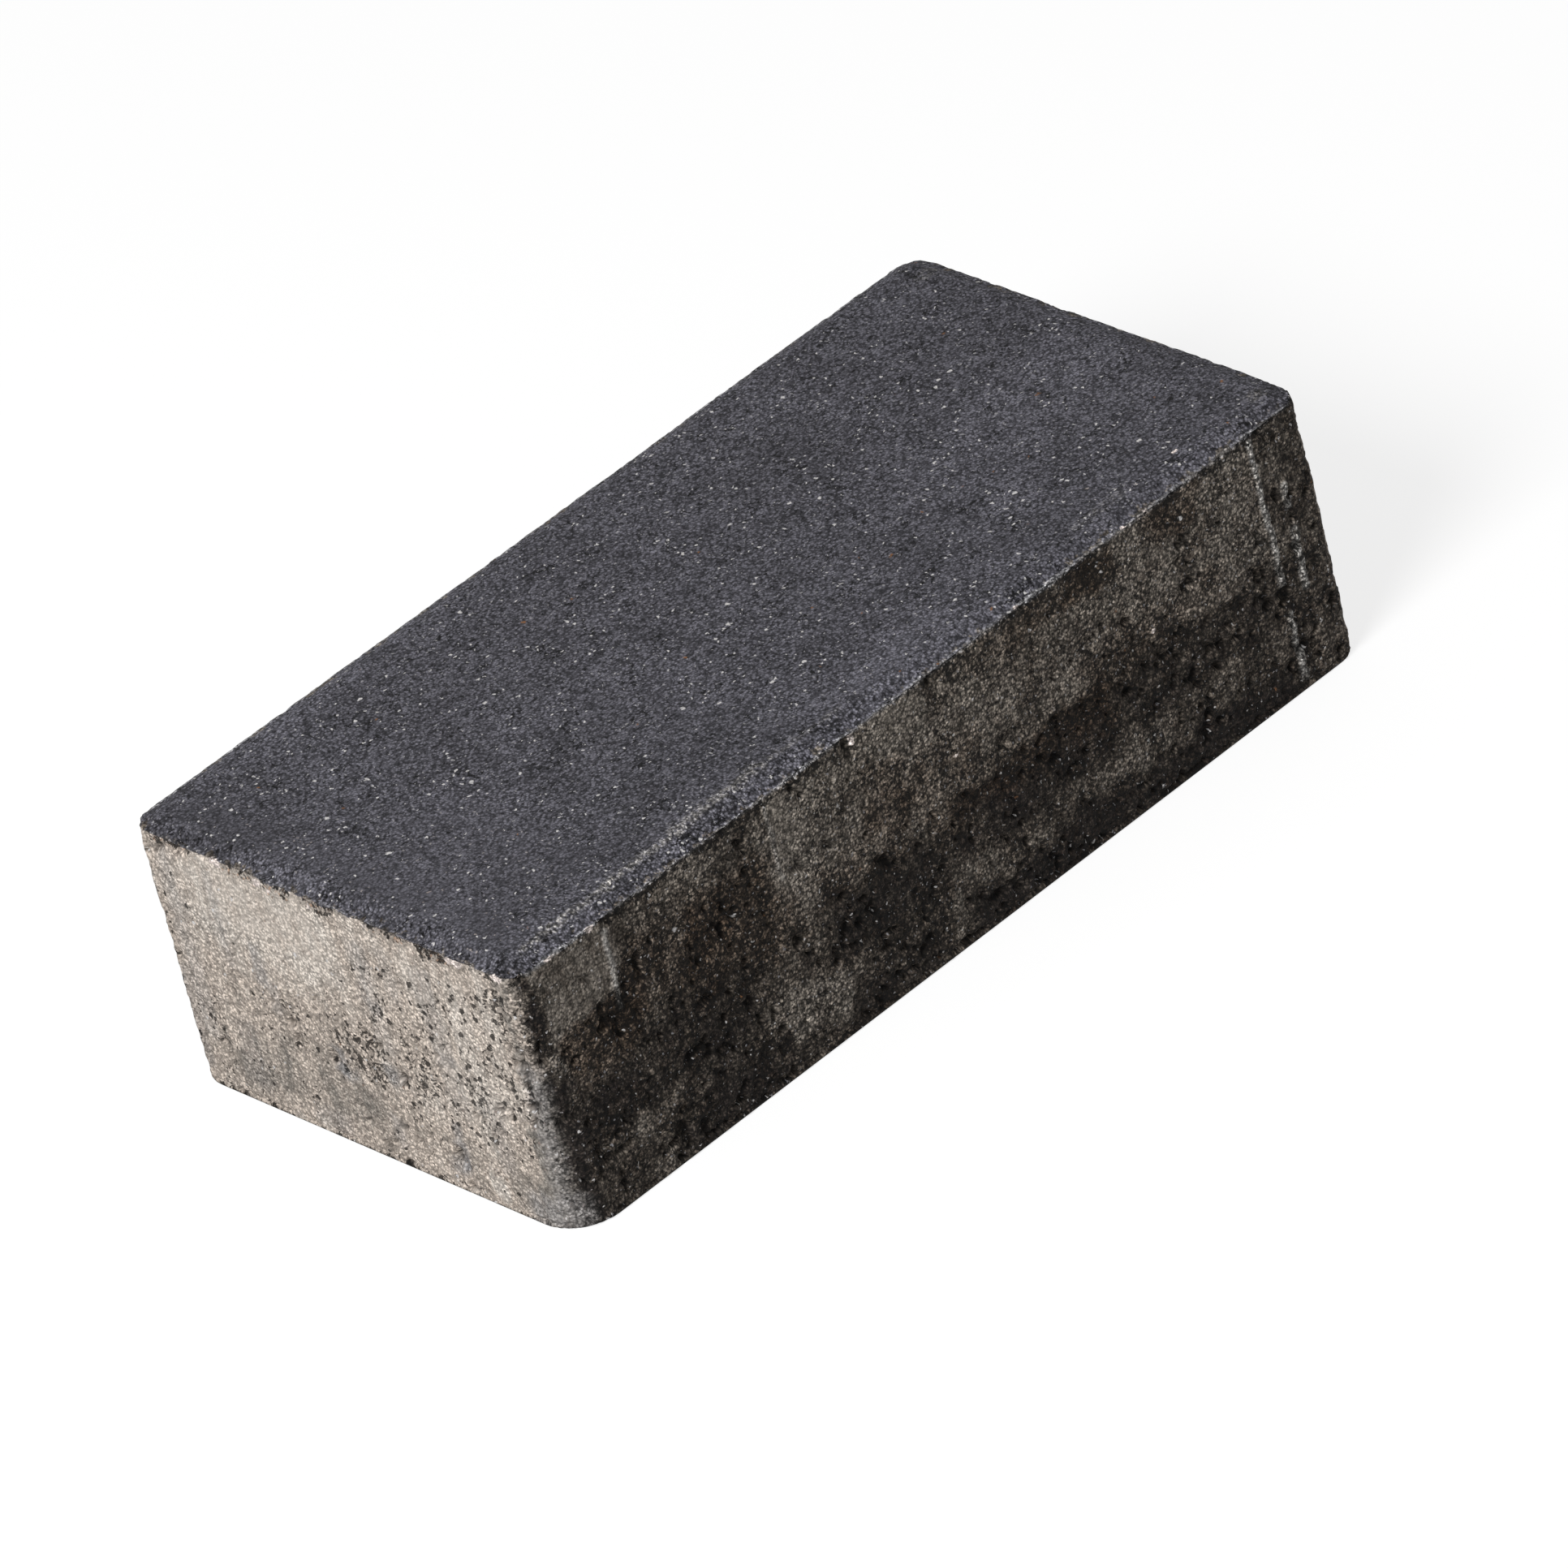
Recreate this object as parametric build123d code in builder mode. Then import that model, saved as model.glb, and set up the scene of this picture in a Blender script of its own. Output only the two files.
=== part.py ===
"""Concrete paving stone, pressed as one piece, lying on its bed face.

Millimetres, +Z up. X runs along the length and Y across the width. The origin is the
centre of the bed face, so the stone lies on Z = 0 with its wearing face on top.
"""
import os

from build123d import *

# Body of the stone, as it came out of the mould
STONE_LENGTH = 210.0
STONE_WIDTH = 105.0
STONE_THICKNESS = 60.0

# Upright corners: three stay as moulded, the front left one is worn and widens to its foot
CORNER_RADIUS = 5.5
WORN_CORNER_FOOT_RADIUS = 10.5

# Rim of the wearing face: a narrow level land, then a shallow bevel up to a soft crest
LAND_WIDTH = 0.8
BEVEL_WIDTH = 3.4
BEVEL_RISE = 1.5
CREST_CORNER_RADIUS = 2.5
CREST_ROUNDING = 5.0

# Lower arris, round the bed face
BED_ARRIS_RADIUS = 0.8

# Heights and insets that follow from the sizes above
shoulder_height = STONE_THICKNESS - BEVEL_RISE
crest_inset = LAND_WIDTH + BEVEL_WIDTH

with BuildPart() as paving_stone:
    # Body, from the bed up to the shoulder
    with BuildSketch(Plane.XY):
        RectangleRounded(STONE_LENGTH, STONE_WIDTH, CORNER_RADIUS)
    extrude(amount=shoulder_height)

    # Wear on the front left corner: what lies outside its rounding, wider at the foot
    for height, radius in ((0, WORN_CORNER_FOOT_RADIUS), (shoulder_height, CORNER_RADIUS)):
        with BuildSketch(Plane.XY.offset(height)):
            with Locations((-STONE_LENGTH / 2, -STONE_WIDTH / 2)):
                Rectangle(radius, radius, align=(Align.MIN, Align.MIN))
            with Locations((radius - STONE_LENGTH / 2, radius - STONE_WIDTH / 2)):
                Circle(radius, mode=Mode.SUBTRACT)
    loft(ruled=True, mode=Mode.SUBTRACT)

    # Wearing face: its bevel starts behind the land and rises to the crest
    with BuildSketch(Plane.XY.offset(shoulder_height)):
        RectangleRounded(
            STONE_LENGTH - 2 * LAND_WIDTH, STONE_WIDTH - 2 * LAND_WIDTH, CORNER_RADIUS - LAND_WIDTH
        )
    with BuildSketch(Plane.XY.offset(STONE_THICKNESS)):
        RectangleRounded(
            STONE_LENGTH - 2 * crest_inset, STONE_WIDTH - 2 * crest_inset, CREST_CORNER_RADIUS
        )
    loft(ruled=True)

    # The press leaves no sharp line round the wearing face, and handling none round the bed
    wearing_face = paving_stone.faces().sort_by(Axis.Z)[-1]
    fillet(wearing_face.edges(), CREST_ROUNDING)
    bed_face = paving_stone.faces().sort_by(Axis.Z)[0]
    fillet(bed_face.edges(), BED_ARRIS_RADIUS)

paving_stone.part.label = "paving_stone"

os.makedirs("parts", exist_ok=True)
export_step(paving_stone.part, "parts/paving_stone.step")
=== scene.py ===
"""Concrete paving stone on a pale studio floor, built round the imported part.

The stone is one pressed piece: an anthracite wearing face on top, mottled sides, pale cement
skin on the two ends. Its body is modelled from a cube, roughened by a relief made with nodes,
and dressed with one concrete material that reads the relief's own masks.
"""

import logging
import math
from dataclasses import dataclass, field
from enum import Enum
from functools import partial

import bpy
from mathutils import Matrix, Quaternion, Vector


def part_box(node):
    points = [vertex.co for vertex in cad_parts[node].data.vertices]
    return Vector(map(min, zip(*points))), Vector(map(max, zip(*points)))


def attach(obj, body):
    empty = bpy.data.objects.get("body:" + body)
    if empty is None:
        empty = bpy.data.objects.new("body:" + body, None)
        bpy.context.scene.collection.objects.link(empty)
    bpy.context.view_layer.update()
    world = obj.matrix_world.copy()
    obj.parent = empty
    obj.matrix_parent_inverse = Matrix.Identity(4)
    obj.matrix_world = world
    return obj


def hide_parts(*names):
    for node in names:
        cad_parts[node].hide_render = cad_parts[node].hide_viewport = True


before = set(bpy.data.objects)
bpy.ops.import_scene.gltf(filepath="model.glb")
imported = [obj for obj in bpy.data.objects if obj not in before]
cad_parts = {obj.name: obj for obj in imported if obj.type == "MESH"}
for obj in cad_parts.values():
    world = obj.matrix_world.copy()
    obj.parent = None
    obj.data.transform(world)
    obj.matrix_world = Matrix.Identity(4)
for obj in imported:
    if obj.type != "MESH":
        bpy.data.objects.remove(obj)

LOG = logging.getLogger("paving_stone")
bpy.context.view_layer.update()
NODE_NAME = "paving_stone"
MM = 0.001
# Half length, half width, thickness and shoulder height of the moulded stone in mm
HALF_LENGTH, HALF_WIDTH, THICKNESS, SHOULDER = 105.0, 52.5, 60.0, 58.5
# Places of the two colour inputs and the colour output of a Mix node set to RGBA
MIX_A, MIX_B, MIX_OUT = 6, 7, 2
# Node kinds and settings that come again and again
MATH, VECTOR_MATH, RANGE = "ShaderNodeMath", "ShaderNodeVectorMath", "ShaderNodeMapRange"
NOISE, VORONOI, MIX = "ShaderNodeTexNoise", "ShaderNodeTexVoronoi", "ShaderNodeMix"
MULTIPLY, MULTIPLY_ADD, ADD, SUBTRACT = (
    {"operation": name} for name in ("MULTIPLY", "MULTIPLY_ADD", "ADD", "SUBTRACT"))
ABSOLUTE, MAXIMUM, MINIMUM, POWER = (
    {"operation": name} for name in ("ABSOLUTE", "MAXIMUM", "MINIMUM", "POWER"))
RGBA, FLOAT = ({"data_type": name} for name in ("RGBA", "FLOAT"))
SMOOTH = {"interpolation_type": "SMOOTHSTEP"}


class Mask(Enum):
    """Names of the masks that the relief leaves on the mesh for the material."""

    REST = "rest_mm"
    TONE = "tone"
    OPEN = "open_texture"
    SKIN = "pale_skin"
    BURR = "dark_burr"
    CHIP = "pale_stone"
    BLOOM = "lime_bloom"
    HOLLOW = "hollow"
    SIDE = "side"
    PITTED = "pitted"
    RESIDUE = "crest_residue"
    SMOOTH = "smooth_paste"
    CROWD = "loose_groups"
    CREVICED = "creviced"
    STAIN = "grey_stain"


def add_node(tree: bpy.types.NodeTree, kind: str, settings: dict | None = None,
             inputs: dict | None = None) -> bpy.types.Node:
    """Adds one node with its settings and links.

    Args:
        tree: The node tree that gets the node.
        kind: Blender's name of the node type.
        settings: Properties of the node, by name.
        inputs: Values, output sockets or nodes (their first output) for its inputs.

    Returns:
        The new node.
    """
    node = tree.nodes.new(kind)
    for name, value in (settings or {}).items():
        setattr(node, name, value)
    for key, value in (inputs or {}).items():
        if isinstance(value, bpy.types.Node):
            value = value.outputs[0]
        if isinstance(value, bpy.types.NodeSocket):
            tree.links.new(value, node.inputs[key])
        else:
            node.inputs[key].default_value = value
    return node


def linear(code: str) -> tuple[float, float, float, float]:
    """Turns an sRGB hex colour to linear.

    Args:
        code: Six hex digits, with or without a leading #.

    Returns:
        Linear red, green and blue, and an alpha of 1.
    """
    parts = [int(code.lstrip("#")[i:i + 2], 16) / 255 for i in (0, 2, 4)]
    return (*[p / 12.92 if p <= 0.04045 else ((p + 0.055) / 1.055) ** 2.4 for p in parts], 1.0)


@dataclass(frozen=True)
class Patch:
    """A soft-edged area on the stone's surface, in millimetres from the bed's centre."""

    x: float
    y: float
    z: float
    half_x: float
    half_y: float
    half_z: float
    amount: float


def on_side(side: float, x: float, z: float, half_x: float, half_z: float, amount: float,
            depth: float = 5.0) -> Patch:
    """Gives a patch on a long side.

    Args:
        side: Where the side stands, in mm along Y.
        x: Place along the side, in mm from its middle.
        z: Height above the bed in mm.
        half_x: Half its length in mm.
        half_z: Half its height in mm.
        amount: What it adds to the mask.
        depth: How far it reaches into the stone in mm.

    Returns:
        The patch, deep enough to wrap a little round the corners.
    """
    return Patch(x, side, z, half_x, depth, half_z, amount)


def on_end(end: float, y: float, z: float, half_y: float, half_z: float, amount: float,
           depth: float = 5.0) -> Patch:
    """Gives a patch on a short end.

    Args:
        end: Where the end stands, in mm along X.
        y: Place across the end, in mm from its middle.
        z: Height above the bed in mm.
        half_y: Half its width in mm.
        half_z: Half its height in mm.
        amount: What it adds to the mask.
        depth: How far it reaches into the stone in mm.

    Returns:
        The patch, deep enough to wrap a little round the corners.
    """
    return Patch(end, y, z, depth, half_y, half_z, amount)


front, back = partial(on_side, -HALF_WIDTH), partial(on_side, HALF_WIDTH)
left_end, right_end = partial(on_end, -HALF_LENGTH), partial(on_end, HALF_LENGTH)


@dataclass
class Relief:
    """The rough surface of pressed concrete, as a modifier that also leaves the masks.

    Lengths are millimetres. Every depth goes into the stone, so the piece stays inside the
    box of the moulded form.
    """

    half_length: float = HALF_LENGTH
    half_width: float = HALF_WIDTH
    thickness: float = THICKNESS
    shoulder: float = SHOULDER
    crest_inset: float = 5.4
    side_recess: float = 0.15
    wave_depth: float = 0.20
    wave_size: float = 34.0
    lump_depth: float = 0.28
    lump_size: float = 5.5
    grit_depth: float = 0.75
    grit_size: float = 2.1
    top_grit_depth: float = 0.06
    cavity_depth: float = 1.1
    cavity_size: float = 2.6
    rim_depth: float = 0.40
    pressed_depth: float = 0.55
    bloom_height: float = 0.6
    mottle_strength: float = 1.85
    foot_depth: float = 0.45
    corner_fullness: float = 0.45
    group_size: float = 6.0
    crevice_ceiling: float = 1.7
    patch_softness: float = 1.1
    tone_patches: list[Patch] = field(default_factory=lambda: [
        # Upper left of the front: streaked paste over browner mix, then a dark open field
        front(-90.5, 51, 9.5, 8, 0.72), front(-93, 45, 7, 5, 0.3), front(-62, 41, 18, 9, 0.38),
        front(-52, 37, 9.5, 6.5, -0.2), front(-62, 53, 18, 4, 0.4), front(-90, 35, 8, 7, 0.5),
        # Dragged paste along the upper half, with pitted gaps between the drags
        front(23, 45, 67, 15.5, 0.56), front(-38.5, 47.5, 3.8, 11, 0.5), front(-28, 46, 8, 12, 0.1),
        front(-7, 50, 7, 8, 0.5), front(-12, 42, 4, 4, 0.0), front(34, 50, 5, 8, 0.15),
        front(70, 45, 18, 12, 0.12), front(97, 30, 7, 28, 0.15),
        # Greyer mix round the near left corner
        Patch(-101.5, -51, 46, 4, 4, 13, 0.9), Patch(-103, -50, 20, 4, 4, 14, -1.1),
        # Dark bands with a browner strip between them, over a lighter band and a dark foot
        front(-74, 22.5, 26, 6.5, -0.6), front(-20, 22.5, 12, 7.5, -0.6),
        front(-4, 23, 4, 7, 0.1), front(22, 23, 21.5, 6.5, -0.8), front(67, 27, 22, 2.6, -0.35),
        front(67, 22.8, 22, 2.0, -0.15), front(67, 18.5, 22, 2.6, -0.3),
        front(-38.5, 11.5, 7.5, 5, 1.15), front(24, 12.3, 24, 4.0, 0.2),
        front(68, 12.3, 21, 4.0, 0.3), front(-84, 11.8, 9, 3.8, 0.4),
        front(43, 4, 46, 4.2, -1.05), front(-20, 4, 13, 4.2, -0.7), front(-60, 4.5, 14, 4.5, -0.5),
        # Back: bands of the same kind
        back(-20, 46, 78, 14, 0.45), back(70, 40, 22, 12, -0.45), back(40, 50, 12, 7, 0.3),
        back(-60, 23, 34, 5.5, -0.8), back(10, 25, 28, 4, -0.6), back(60, 20, 24, 6, -0.7),
        back(-10, 12, 60, 4, 0.25), back(20, 4, 78, 4, -0.7),
        # Left end: smooth pale skin above, greyer strips and stains elsewhere
        left_end(18, 48, 20, 10, 0.55), left_end(-36, 38, 8, 16, 0.35), left_end(47, 30, 4, 28, 0.1),
        left_end(-46, 4, 12, 5, -0.8), left_end(-31, 6, 2, 3, 0.9), left_end(6, 8, 36, 7, -0.35),
        left_end(-49, 32, 3.8, 28, -1.5), left_end(25, 18, 24, 14, -0.3),
        # Right end: the same skin, with its own stains
        right_end(-20, 44, 24, 10, 0.5), right_end(30, 30, 14, 20, -0.5),
        right_end(-36, 18, 10, 12, -0.45), right_end(6, 14, 20, 7, -0.7), right_end(34, 50, 12, 6, 0.45),
        right_end(-44, 40, 5, 16, -0.4), right_end(0, 3, 48, 3, -0.8),
        # Wearing face: a lighter smear by the near rim and a lighter far rim
        Patch(5, -44, 60, 12, 4.5, 6, 0.95), Patch(-58, 49, 60, 24, 4, 6, 0.5),
        Patch(-92, 36, 60, 12, 12, 6, -0.4), Patch(40, 20, 60, 16, 12, 6, -0.3),
        Patch(70, -8, 60, 26, 9, 6, 0.3), Patch(-40, -32, 60, 18, 8, 6, -0.3),
    ])
    stain_patches: list[Patch] = field(default_factory=lambda: [
        # Soft grey streaks down the left end, where the mould was drawn off, and a few blots
        left_end(44.5, 34, 2.4, 22, 0.4), left_end(32.5, 43, 1.6, 11, 0.4), left_end(24, 36, 1.6, 5, 0.7),
        left_end(22, 29, 1.2, 4, 0.4), left_end(-7.5, 44, 2.4, 8, 0.45), left_end(-9, 33, 2.2, 6, 0.3),
        left_end(-25, 41, 2.6, 11, 0.45), left_end(-26, 26, 2.6, 7, 0.3), left_end(-15, 47, 1.8, 7, 0.25),
        left_end(7, 20, 1.6, 3.2, 0.9), left_end(5, 17.5, 2.6, 1.6, 0.7), left_end(-8, 22, 2.2, 2.4, 0.8),
        left_end(-23, 11, 1.4, 6, 0.9), left_end(-21, 6, 2.4, 2, 0.7), left_end(-5, 8, 1.6, 4, 0.5),
        left_end(-36, 18, 2.2, 9, 0.35), left_end(-46, 3.5, 7, 4, 0.8),
        left_end(-49.5, 22, 2.8, 16, 0.6, 2.5), left_end(49, 16, 2.2, 12, 0.4),
        left_end(34, 12, 3, 8, 0.3), left_end(14, 4, 5, 2.4, 0.4),
        right_end(-30, 40, 2.2, 14, 0.4), right_end(8, 36, 2.6, 16, 0.45), right_end(26, 44, 1.8, 10, 0.4),
        right_end(-8, 16, 2.4, 8, 0.5), right_end(42, 24, 2.4, 16, 0.45),
    ])
    # Dark crumbs along the rim: partly burr, partly painted shadow under the rim
    burr_and_rim_shadow_patches: list[Patch] = field(default_factory=lambda: [
        left_end(41, 57.6, 6, 1.4, 0.8), left_end(22, 57.4, 5, 1.8, 0.9), left_end(12, 57.0, 4, 2.2, 1.0),
        left_end(1, 57.5, 5, 1.7, 0.9), left_end(-17, 57.6, 6, 1.6, 0.9), left_end(-30, 57.2, 5, 2.0, 1.0),
        left_end(-43, 57.8, 5, 1.3, 0.6), front(-60, 57.6, 22, 1.8, 0.65), front(-28, 57.2, 7, 2.0, 0.7),
        front(6, 57.6, 10, 1.5, 0.55), front(28, 57.8, 8, 1.2, 0.5), front(44, 56.8, 5, 2.4, 0.75),
        front(67, 56.8, 4, 2.4, 0.75), front(84, 57.6, 8, 1.5, 0.6), right_end(18, 57.6, 7, 1.6, 0.8),
        right_end(-22, 57.4, 6, 1.8, 0.8), back(-40, 57.5, 24, 1.8, 0.6), back(50, 57.5, 18, 1.6, 0.6),
    ])
    pitted_patches: list[Patch] = field(default_factory=lambda: [
        right_end(-28, 34, 12, 16, 0.6), right_end(16, 40, 10, 10, 0.5), right_end(24, 18, 16, 8, 0.5),
        left_end(-34, 34, 13, 20, 0.85), left_end(-14, 40, 9, 9, 0.7), left_end(-8, 24, 14, 7, 0.7),
        left_end(14, 25, 16, 6, 0.6), left_end(18, 50, 20, 9, -0.25), left_end(2, 12, 44, 10, 0.25),
        left_end(46, 30, 5, 26, 0.25), front(-52, 38, 12, 10, 0.6), front(-68, 42, 14, 8, 0.5),
        front(-12, 42, 5, 7, 0.6), front(2, 38, 8, 5, 0.5), front(-88, 36, 9, 6, 0.8),
        front(30, 54, 20, 3, 0.4), front(56, 34, 20, 5, 0.35), front(-22, 32, 12, 4, 0.4),
        front(20, 28, 24, 4, 0.5), front(45, 54, 6, 4, 0.7), front(67, 54, 6, 4, 0.7),
    ])
    residue_patches: list[Patch] = field(default_factory=lambda: [
        Patch(-86, -47.6, 59.4, 12, 0.7, 4, 0.9), Patch(-66, -47.0, 59.4, 10, 0.6, 4, 0.9),
        Patch(-46, -46.4, 59.6, 12, 0.9, 4, 0.8), Patch(-24, -46.6, 59.6, 10, 0.6, 4, 0.35),
        Patch(56, -45.6, 60, 7, 0.7, 4, 0.35), Patch(99, -46, 59, 2.0, 1.4, 4, 0.5),
        Patch(100, 43, 59, 2.5, 1.2, 4, 0.45),
    ])
    chip_patches: list[Patch] = field(default_factory=lambda: [
        left_end(28.5, 57.7, 1.7, 0.9, 1.0, 1.0), left_end(17, 56.9, 1.4, 0.9, 1.0, 1.6),
        left_end(14, 56.2, 0.9, 0.8, 0.9, 1.6), left_end(-36, 57.3, 2.2, 0.8, 1.0, 1.2),
        left_end(-47.5, 57.9, 1.6, 0.7, 1.0, 1.0), left_end(3, 56.6, 0.8, 0.6, 0.8, 1.6),
        left_end(-12, 57.0, 0.9, 0.6, 0.8, 1.6), left_end(38, 57.2, 0.8, 0.5, 0.8, 1.6),
        front(-17.2, 56.4, 0.7, 1.4, 0.8, 1.6), front(-15.8, 53.6, 0.6, 0.8, 0.7, 1.6),
        front(-85, 57.8, 1.1, 0.8, 1.0, 1.2), front(-95.5, 57.9, 1.1, 0.6, 0.9, 1.2),
        front(27, 58.2, 0.7, 0.6, 0.9, 1.2), front(56, 58.2, 0.7, 0.6, 0.8, 1.2),
        front(62, 58.1, 0.6, 0.6, 0.8, 1.2), front(2, 47, 0.8, 0.6, 0.7, 1.6),
        front(5, 39, 0.6, 0.6, 0.8, 1.6), front(57, 34, 0.8, 0.7, 0.8, 1.6),
        Patch(77, -45, 60, 1.0, 0.7, 1.2, 0.9), Patch(60, -38, 60, 0.8, 0.5, 1.2, 0.8),
    ])
    hollow_patches: list[Patch] = field(default_factory=lambda: [
        front(-18.6, 55.6, 1.2, 2.2, 0.9), front(43, 54.5, 4.5, 2.4, 0.5),
        front(67, 54.5, 4.5, 2.2, 0.45), left_end(39, 57.6, 2.0, 1.6, 0.9),
        left_end(8.5, 20, 1.4, 1.8, 1.0), left_end(-22, 8, 1.5, 2.0, 0.8),
        front(-81, 38, 2.4, 3.0, 0.7), front(18, 34.5, 3.5, 1.6, 0.8), front(52, 33, 4, 1.6, 0.7),
        Patch(105, -52.5, 53, 8, 8, 9, 0.35), Patch(105, 12, 60, 3, 1.6, 1.5, 0.9),
    ])
    smooth_patches: list[Patch] = field(default_factory=lambda: [
        front(-91, 51, 9.5, 7.5, 1.0), Patch(-102.5, -50.5, 20, 4, 4, 20, 0.6),
        front(-38.5, 47.5, 3.8, 11, 0.6), front(-7, 53, 6, 5, 0.5),
        left_end(20, 50, 18, 7, 0.7), left_end(-28, 53, 14, 4, 0.3), left_end(-25, 36, 3.5, 14, 0.4),
        Patch(-97, 0, 60, 4, 44, 5, 0.6), Patch(-84, -20, 60, 14, 20, 5, 0.35),
        Patch(5, -44, 60, 13, 4, 5, 0.4),
    ])
    bloom_patches: list[Patch] = field(default_factory=lambda: [
        front(89.4, 47, 0.65, 10, 1.0), front(89.8, 30, 0.65, 7, 0.9), front(90.0, 10, 0.7, 8, 1.0),
        front(95.3, 41, 0.7, 3, 0.9), front(95.3, 27, 0.8, 7, 1.0), front(-82.4, 47, 0.6, 9, 0.7),
        front(-40.5, 48, 0.4, 8, 0.4),
    ])

    def patches(self, tree: bpy.types.NodeTree, place: bpy.types.Node,
                patches: list[Patch]) -> bpy.types.Node:
        """Adds up the patches at each point.

        Each is a box with rounded corners that fades over a share of its smallest half size.

        Args:
            tree: The relief's node tree.
            place: The point in mm, already shaken so that the edges come out ragged.
            patches: The patches to add up.

        Returns:
            A node whose first output is the sum.
        """
        add = partial(add_node, tree)
        total = None
        for patch in patches:
            half = (patch.half_x, patch.half_y, patch.half_z)
            soft = min(half) * self.patch_softness
            offset = add(VECTOR_MATH, SUBTRACT, {0: place, 1: (patch.x, patch.y, patch.z)})
            offset = add(VECTOR_MATH, ABSOLUTE, {0: offset})
            beyond = add(VECTOR_MATH, SUBTRACT, {0: offset, 1: tuple((size - soft / 2 for size in half))})
            beyond = add(VECTOR_MATH, MAXIMUM, {0: beyond, 1: (0.0, 0.0, 0.0)})
            length = add(VECTOR_MATH, {"operation": "LENGTH"}, {0: beyond})
            fade = add(RANGE, SMOOTH, {"Value": length.outputs["Value"], "From Min": soft, "From Max": 0.0,
                                        "To Min": 0.0, "To Max": patch.amount})
            total = fade if total is None else add(MATH, ADD, {0: total, 1: fade})
        return total

    def shaken(self, tree: bpy.types.NodeTree, place: bpy.types.Node, size: float,
               reach: tuple[float, float, float]) -> bpy.types.Node:
        """Shakes a place, so that what is read there gets a ragged edge.

        Args:
            tree: The relief's node tree.
            place: The point in mm.
            size: Size of the shaking pattern in mm.
            reach: How far it can move the point in mm, along X, Y and Z.

        Returns:
            A node whose first output is the shaken point.
        """
        add = partial(add_node, tree)
        noise = add(NOISE, {}, {"Vector": place, "Scale": 1 / size, "Detail": 2.0, "Roughness": 0.6})
        move = add(VECTOR_MATH, MULTIPLY_ADD, {0: noise.outputs["Color"],
                                               1: tuple((length * 2 for length in reach)),
                                               2: tuple((-length for length in reach))})
        return add(VECTOR_MATH, ADD, {0: place, 1: move})

    def build(self) -> bpy.types.NodeTree:
        """Builds the relief as a geometry node tree.

        Returns:
            The tree, for a Nodes modifier.
        """
        tree = bpy.data.node_groups.new("concrete_relief", "GeometryNodeTree")
        tree.interface.new_socket("Geometry", in_out="INPUT", socket_type="NodeSocketGeometry")
        tree.interface.new_socket("Geometry", in_out="OUTPUT", socket_type="NodeSocketGeometry")
        add = partial(add_node, tree)
        source = add("NodeGroupInput")
        position = add("GeometryNodeInputPosition")
        normal = add("GeometryNodeInputNormal")
        place = add(VECTOR_MATH, {"operation": "SCALE"}, {0: position, "Scale": 1 / MM})
        axes = add("ShaderNodeSeparateXYZ", {}, {0: place})
        facing = add("ShaderNodeSeparateXYZ", {}, {0: normal})
        height = axes.outputs["Z"]
        side = add(RANGE, SMOOTH, {"Value": facing.outputs["Z"], "From Min": 0.78, "From Max": 0.4})
        wide = self.shaken(tree, place, 9.0, (8.0, 8.0, 6.0))
        wide = self.shaken(tree, wide, 3.0, (3.0, 3.0, 2.4))
        near = self.shaken(tree, place, 2.4, (1.6, 1.6, 1.6))

        # Tone of the sides: patches where they are known, drag marks and blotches everywhere
        drag = add(VECTOR_MATH, MULTIPLY, {0: place, 1: (1 / 5.0, 1 / 5.0, 1 / 26.0)})
        drag = add(NOISE, {}, {"Vector": drag, "Scale": 1.0, "Detail": 3.0, "Roughness": 0.6})
        blotch = add(NOISE, {}, {"Vector": place, "Scale": 1 / 16.0, "Detail": 5.0, "Roughness": 0.62})
        mottle = add(MATH, ADD, {0: drag, 1: blotch})
        mottle = add(MATH, MULTIPLY_ADD, {0: mottle, 1: self.mottle_strength, 2: -self.mottle_strength})
        known = self.patches(tree, wide, self.tone_patches)
        tone = add(MATH, ADD, {0: mottle, 1: known})

        # Pale skin on the two ends, thinning out round the upright corners
        turned = add(MATH, ABSOLUTE, {0: facing})
        turned = add(RANGE, {}, {"Value": turned, "From Min": 0.4, "From Max": 0.99})
        skin = add(MATH, POWER, {0: turned, 1: 1.4})

        burr_and_rim_shadow = self.patches(tree, near, self.burr_and_rim_shadow_patches)
        chip = self.patches(tree, self.shaken(tree, place, 1.6, (0.5, 0.5, 0.5)), self.chip_patches)
        hollow = self.patches(tree, near, self.hollow_patches)
        pitted = self.patches(tree, wide, self.pitted_patches)
        smooth = self.patches(tree, wide, self.smooth_patches)
        slight = self.shaken(tree, place, 3.0, (0.8, 0.8, 0.8))
        residue = self.patches(tree, slight, self.residue_patches)
        bloom = self.patches(tree, slight, self.bloom_patches)
        gaps = add(NOISE, {}, {"Vector": place, "Scale": 1 / 3.2, "Detail": 2.0, "Roughness": 0.7})
        gaps = add(RANGE, {}, {"Value": gaps, "From Min": 0.3, "From Max": 0.42})
        bloom = add(MATH, MULTIPLY, {0: bloom, 1: gaps})

        stain = self.patches(tree, near, self.stain_patches)

        # Loose groups, in which crevices, pits and pale grains gather
        crowd = add(NOISE, {}, {"Vector": place, "Scale": 1 / self.group_size, "Detail": 2.0})
        crowd = add(RANGE, {}, {"Value": crowd, "From Min": 0.45, "From Max": 0.64})

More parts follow.
